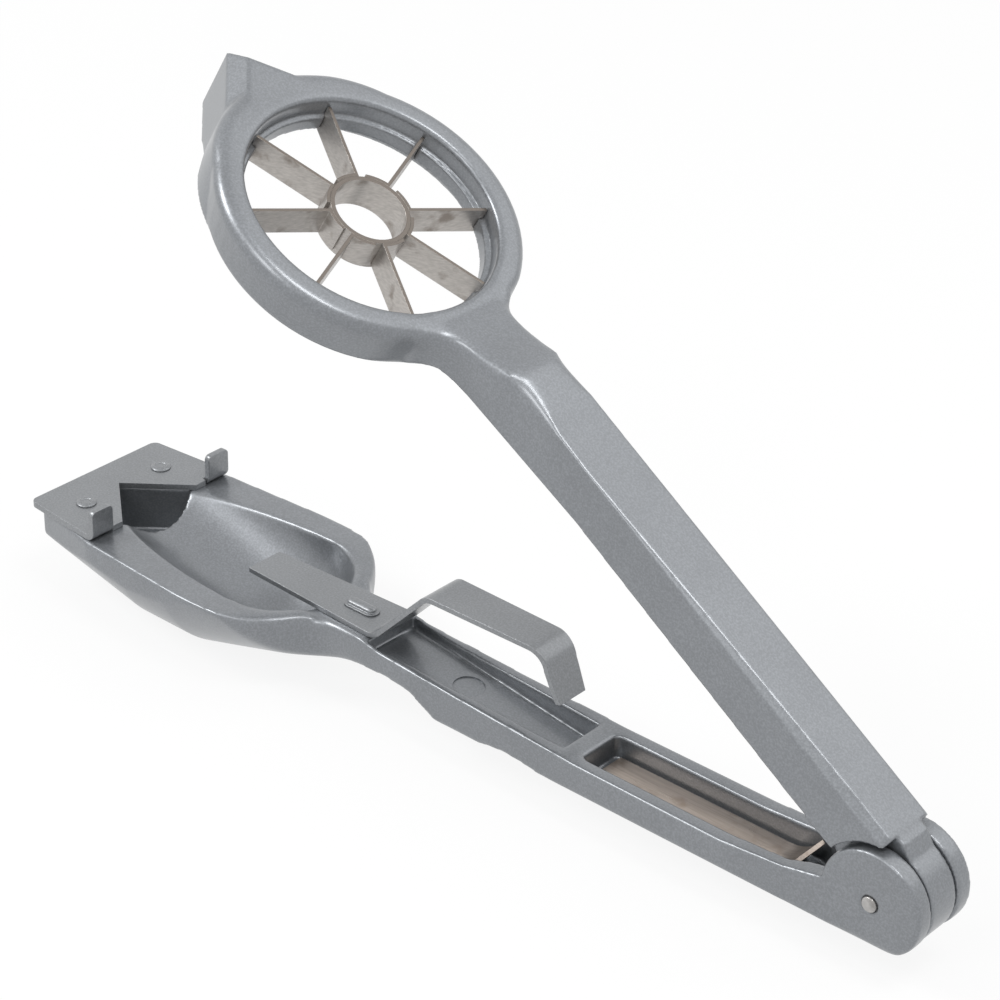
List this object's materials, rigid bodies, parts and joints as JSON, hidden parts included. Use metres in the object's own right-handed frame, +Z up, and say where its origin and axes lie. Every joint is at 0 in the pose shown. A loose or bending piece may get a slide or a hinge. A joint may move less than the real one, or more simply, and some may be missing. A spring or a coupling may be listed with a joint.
{
  "type": "radish rose cutter",
  "caption": "Hand-held lever cutter with a boat-shaped cup on the lower arm and a ring of radial blades round a core ring on the hinged, sprung upper arm, for cutting radishes into roses.",
  "frame": {"origin": "on the flat rest pad under the cup, on the middle plane of the tool", "axes": "+X along the tool towards the hinge, +Z up with the cup rim level, +Y to the left seen from the hinge"},
  "size_m": [0.1948, 0.0544, 0.1134],
  "materials": {
    "cast_lacquer": "cast alloy under a speckled silver-grey metallic lacquer, satin",
    "sheet_lacquer": "sheet steel under the same silver-grey metallic lacquer, satin",
    "blade_steel": "bare stainless strip, dull, with weld marks",
    "spring_bronze": "bare tempered spring strip, straw coloured",
    "pin_steel": "bare steel, peened end"
  },
  "bodies": {
    "lower": {"lower_arm": "cast_lacquer", "front_plate": "sheet_lacquer", "plate_rivets": "sheet_lacquer", "loop_strip": "sheet_lacquer", "strip_stud": "sheet_lacquer", "leaf_spring": "spring_bronze", "hinge_pin": "pin_steel"},
    "upper": {"upper_arm": "cast_lacquer", "core_ring": "blade_steel", "blade_1": "blade_steel", "blade_2": "blade_steel", "blade_3": "blade_steel", "blade_4": "blade_steel", "blade_5": "blade_steel", "blade_6": "blade_steel", "blade_7": "blade_steel", "blade_8": "blade_steel"}
  },
  "joints": [
    {"name": "arm_hinge", "type": "hinge", "parent": "lower", "child": "upper", "pos_m": [0.147, 0, 0.0147], "axis": [0, -1, 0], "range_deg": [0, 29], "stiffness_Nm_per_rad": 0.35, "springref_deg": -34.38}
  ]
}
